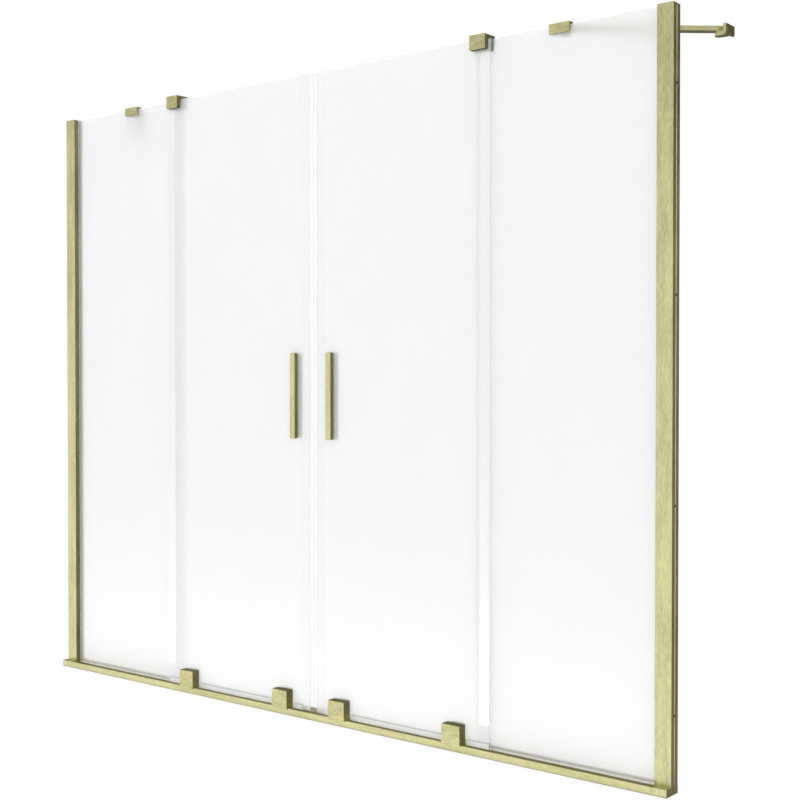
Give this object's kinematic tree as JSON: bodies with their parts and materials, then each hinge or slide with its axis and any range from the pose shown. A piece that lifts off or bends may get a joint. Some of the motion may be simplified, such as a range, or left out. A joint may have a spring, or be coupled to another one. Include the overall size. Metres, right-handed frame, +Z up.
{
  "type": "sliding bath screen",
  "caption": "Bath screen with frosted fixed side panes and doors that slide on rollers along a bottom rail, with grip handles, wall profiles and swivelling support bars.",
  "frame": {"origin": "middle of the rail's underside, halfway along its length and depth", "axes": "+X along the rail to the right as seen from the room, +Y into the bath, +Z up"},
  "size_m": [1.8, 0.2982, 1.5079],
  "materials": {
    "gold_profile": "brushed pale gold, anodised",
    "gold_fitting": "brushed pale gold",
    "frosted_glass": "frosted, satin etched",
    "clear_seal": "clear flexible strip",
    "rubber": "matt",
    "nylon": "smooth nylon",
    "dark_plastic": "smooth, dark",
    "steel": "stainless"
  },
  "bodies": {
    "frame": {"bottom_rail": "gold_profile", "rail_end_block_left": "gold_profile", "rail_end_block_right": "gold_profile", "rail_infill": "gold_profile", "track_stops": "rubber", "wall_channel_left": "gold_profile", "wall_channel_right": "gold_profile", "glass_profile_left": "gold_profile", "glass_profile_right": "gold_profile", "profile_caps": "gold_fitting", "profile_screws": "steel", "pane_gaskets": "clear_seal", "fixed_pane_left": "frosted_glass", "fixed_pane_right": "frosted_glass", "fixed_edge_seals": "clear_seal", "top_guide_left": "gold_fitting", "top_guide_right": "gold_fitting", "guide_liners": "dark_plastic", "bar_clamp_left": "gold_fitting", "bar_clamp_right": "gold_fitting", "clamp_pads": "clear_seal", "grub_screws": "steel"},
    "door_right": {"sliding_pane_right": "frosted_glass", "carriage_outer_right": "gold_fitting", "carriage_inner_right": "gold_fitting", "carriage_plates_right": "steel", "carriage_bolts_right": "steel", "roller_axles_right": "steel", "handle_outer_right": "gold_fitting", "handle_inner_right": "gold_fitting", "handle_screws_right": "steel", "meeting_seal_right": "clear_seal", "trailing_seal_right": "clear_seal", "drip_seals_right": "clear_seal"},
    "door_left": {"sliding_pane_left": "frosted_glass", "carriage_outer_left": "gold_fitting", "carriage_inner_left": "gold_fitting", "carriage_plates_left": "steel", "carriage_bolts_left": "steel", "roller_axles_left": "steel", "handle_outer_left": "gold_fitting", "handle_inner_left": "gold_fitting", "handle_screws_left": "steel", "meeting_seal_left": "clear_seal", "trailing_seal_left": "clear_seal", "drip_seals_left": "clear_seal"},
    "roller_inner_right": {"roller_inner_right": "nylon", "bearing_inner_right": "steel"},
    "roller_outer_right": {"roller_outer_right": "nylon", "bearing_outer_right": "steel"},
    "roller_inner_left": {"roller_inner_left": "nylon", "bearing_inner_left": "steel"},
    "roller_outer_left": {"roller_outer_left": "nylon", "bearing_outer_left": "steel"},
    "bar_right": {"support_bar_right": "gold_fitting", "bar_pins_right": "steel"},
    "flange_right": {"bar_flange_right": "gold_fitting"},
    "bar_left": {"support_bar_left": "gold_fitting", "bar_pins_left": "steel"},
    "flange_left": {"bar_flange_left": "gold_fitting"}
  },
  "joints": [
    {"name": "door_slide_right", "type": "slide", "parent": "frame", "child": "door_right", "axis": [1, 0, 0], "range_m": [0, 0.36]},
    {"name": "door_slide_left", "type": "slide", "parent": "frame", "child": "door_left", "axis": [-1, 0, 0], "range_m": [0, 0.36]},
    {"name": "roller_spin_inner_right", "type": "hinge", "parent": "door_right", "child": "roller_inner_right", "pos_m": [0.0875, -0.01575, 0.0247], "axis": [0, 1, 0], "range_deg": [0, 1725]},
    {"name": "roller_spin_outer_right", "type": "hinge", "parent": "door_right", "child": "roller_outer_right", "pos_m": [0.4055, -0.01575, 0.0247], "axis": [0, 1, 0], "range_deg": [0, 1725]},
    {"name": "roller_spin_inner_left", "type": "hinge", "parent": "door_left", "child": "roller_inner_left", "pos_m": [-0.0875, -0.01575, 0.0247], "axis": [0, -1, 0], "range_deg": [0, 1725]},
    {"name": "roller_spin_outer_left", "type": "hinge", "parent": "door_left", "child": "roller_outer_left", "pos_m": [-0.4055, -0.01575, 0.0247], "axis": [0, -1, 0], "range_deg": [0, 1725]},
    {"name": "bar_swivel_right", "type": "hinge", "parent": "frame", "child": "bar_right", "pos_m": [0.6465, 0.03425, 1.4951], "axis": [0, 0, 1], "range_deg": [0, 137]},
    {"name": "flange_swivel_right", "type": "hinge", "parent": "bar_right", "child": "flange_right", "pos_m": [0.879, 0.24885, 1.4951], "axis": [0, 0, 1], "range_deg": [-45, 130]},
    {"name": "bar_swivel_left", "type": "hinge", "parent": "frame", "child": "bar_left", "pos_m": [-0.6465, 0.03425, 1.4951], "axis": [0, 0, -1], "range_deg": [0, 137]},
    {"name": "flange_swivel_left", "type": "hinge", "parent": "bar_left", "child": "flange_left", "pos_m": [-0.879, 0.24885, 1.4951], "axis": [0, 0, -1], "range_deg": [-45, 130]}
  ],
  "couplings": [
    {"joint": "roller_spin_inner_right", "follows": "door_slide_right", "rad_per_m": 83.333},
    {"joint": "roller_spin_outer_right", "follows": "door_slide_right", "rad_per_m": 83.333},
    {"joint": "roller_spin_inner_left", "follows": "door_slide_left", "rad_per_m": 83.333},
    {"joint": "roller_spin_outer_left", "follows": "door_slide_left", "rad_per_m": 83.333}
  ]
}
